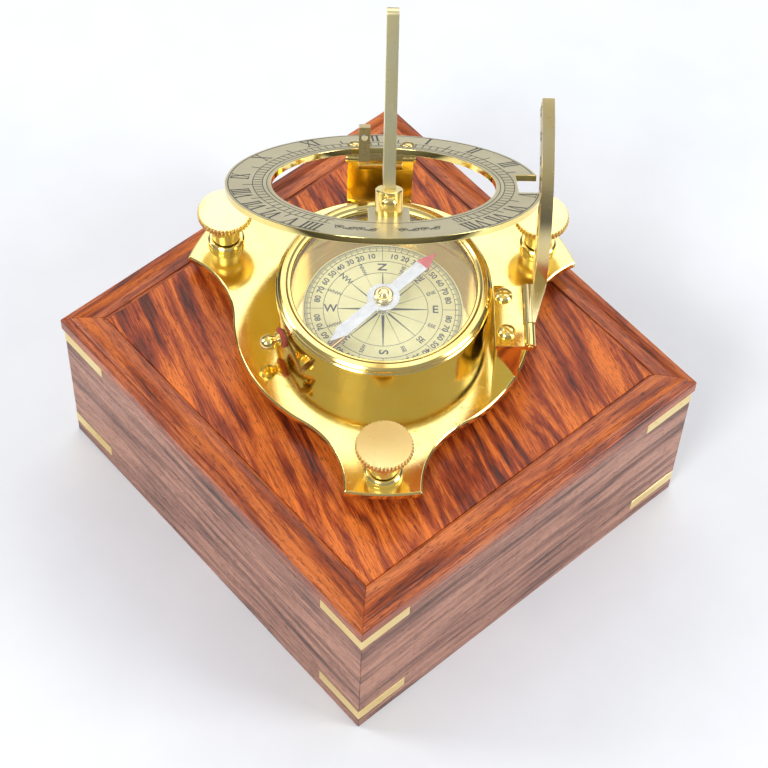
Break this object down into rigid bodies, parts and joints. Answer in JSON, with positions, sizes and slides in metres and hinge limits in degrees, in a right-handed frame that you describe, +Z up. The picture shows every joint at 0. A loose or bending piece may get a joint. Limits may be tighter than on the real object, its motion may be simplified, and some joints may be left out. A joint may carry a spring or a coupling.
{
  "type": "folding equinoctial sundial compass on its case",
  "caption": "Brass folding equinoctial sundial with a compass, levelling screws and latitude arc, standing on its hinged hardwood case.",
  "frame": {"origin": "centre of the case's flat bottom face", "axes": "+Z up, X along the case's hinged side, +Y towards the hinges; the instrument's north points 139.3 degrees round from +X"},
  "size_m": [0.15, 0.1459, 0.1896],
  "materials": {
    "rosewood": "glossy",
    "felt": "matte",
    "inlay_brass": "satin",
    "polished_brass": "mirror polished",
    "engraved_brass": "silvered, with black-filled engraving",
    "steel": "polished",
    "card": "printed, satin",
    "glass": "clear",
    "cork": "matte",
    "fibre": "matte",
    "jewel": "polished"
  },
  "bodies": {
    "case_base": {"base_wall_front": "rosewood", "base_wall_back": "rosewood", "base_wall_left": "rosewood", "base_wall_right": "rosewood", "base_floor": "rosewood", "base_lining": "felt", "base_corner_straps": "inlay_brass", "hinge_leaves_base": "inlay_brass", "hinge_pins": "steel", "hinge_screws_base": "steel"},
    "case_lid": {"lid_wall_front": "rosewood", "lid_wall_back": "rosewood", "lid_wall_left": "rosewood", "lid_wall_right": "rosewood", "lid_panel": "rosewood", "lid_moulding_front": "rosewood", "lid_moulding_back": "rosewood", "lid_moulding_left": "rosewood", "lid_moulding_right": "rosewood", "lid_lining": "felt", "lid_corner_straps": "inlay_brass", "hinge_leaves_lid": "inlay_brass", "hinge_screws_lid": "steel"},
    "instrument": {"base_plate": "polished_brass", "screw_bushes": "polished_brass", "compass_bowl": "polished_brass", "bowl_screws": "polished_brass", "compass_card": "card", "pivot_pin": "steel", "glass_gasket": "cork", "glass": "glass", "bezel": "polished_brass", "ring_bracket": "polished_brass", "bracket_screws": "polished_brass", "ring_hinge_pin": "polished_brass", "arc_pillar": "polished_brass", "arc_hinge_leaf": "polished_brass", "arc_hinge_screws": "polished_brass", "arc_hinge_pin": "polished_brass"},
    "hour_ring": {"hour_ring": "engraved_brass", "ring_hinge_block": "polished_brass", "ring_rivets": "polished_brass", "gnomon_clip": "polished_brass", "gnomon_post": "polished_brass", "friction_screw": "polished_brass", "gnomon_pin": "steel"},
    "gnomon": {"gnomon": "polished_brass"},
    "latitude_arc": {"latitude_arc": "polished_brass"},
    "needle": {"needle": "steel", "needle_cap": "polished_brass", "cap_jewel": "jewel"},
    "screw_front": {"levelling_screw_front": "polished_brass"},
    "screw_right": {"levelling_screw_right": "polished_brass"},
    "screw_left": {"levelling_screw_left": "polished_brass"},
    "transit_lock": {"lock_lever": "polished_brass", "lock_washer": "fibre", "lock_knob": "polished_brass"}
  },
  "joints": [
    {"name": "lid_hinge", "type": "hinge", "parent": "case_base", "child": "case_lid", "pos_m": [0, 0.0731, 0.039], "axis": [-1, 0, 0], "range_deg": [0, 95]},
    {"name": "instrument_lift", "type": "slide", "parent": "case_lid", "child": "instrument", "axis": [0, 0, 1], "range_m": [0, 0.06]},
    {"name": "ring_hinge", "type": "hinge", "parent": "instrument", "child": "hour_ring", "pos_m": [-0.04188, 0.03665, 0.09451], "axis": [-0.6521, -0.7581, 0], "range_deg": [-32.2, 57.8]},
    {"name": "gnomon_hinge", "type": "hinge", "parent": "hour_ring", "child": "gnomon", "pos_m": [-0.00023, 0.00214, 0.14181], "axis": [-0.6521, -0.7581, 0], "range_deg": [0, 90]},
    {"name": "arc_hinge", "type": "hinge", "parent": "instrument", "child": "latitude_arc", "pos_m": [0.03292, 0.03311, 0.0914], "axis": [-0.7581, 0.6521, 0], "range_deg": [0, 90]},
    {"name": "needle_spin", "type": "hinge", "parent": "instrument", "child": "needle", "pos_m": [-0.00407, 0.00544, 0.0845], "axis": [0, 0, 1], "continuous": true},
    {"name": "level_front", "type": "hinge", "parent": "instrument", "child": "screw_front", "pos_m": [0.04051, -0.0329, 0.0795], "axis": [0, 0, 1], "continuous": true},
    {"name": "level_right", "type": "hinge", "parent": "instrument", "child": "screw_right", "pos_m": [0.00685, 0.06322, 0.0795], "axis": [0, 0, 1], "continuous": true},
    {"name": "level_left", "type": "hinge", "parent": "instrument", "child": "screw_left", "pos_m": [-0.05956, -0.01399, 0.0795], "axis": [0, 0, 1], "continuous": true},
    {"name": "transit_lock_lever", "type": "hinge", "parent": "instrument", "child": "transit_lock", "pos_m": [-0.01327, -0.02729, 0.0829], "axis": [-0.2706, -0.9627, 0], "range_deg": [0, 12]}
  ]
}
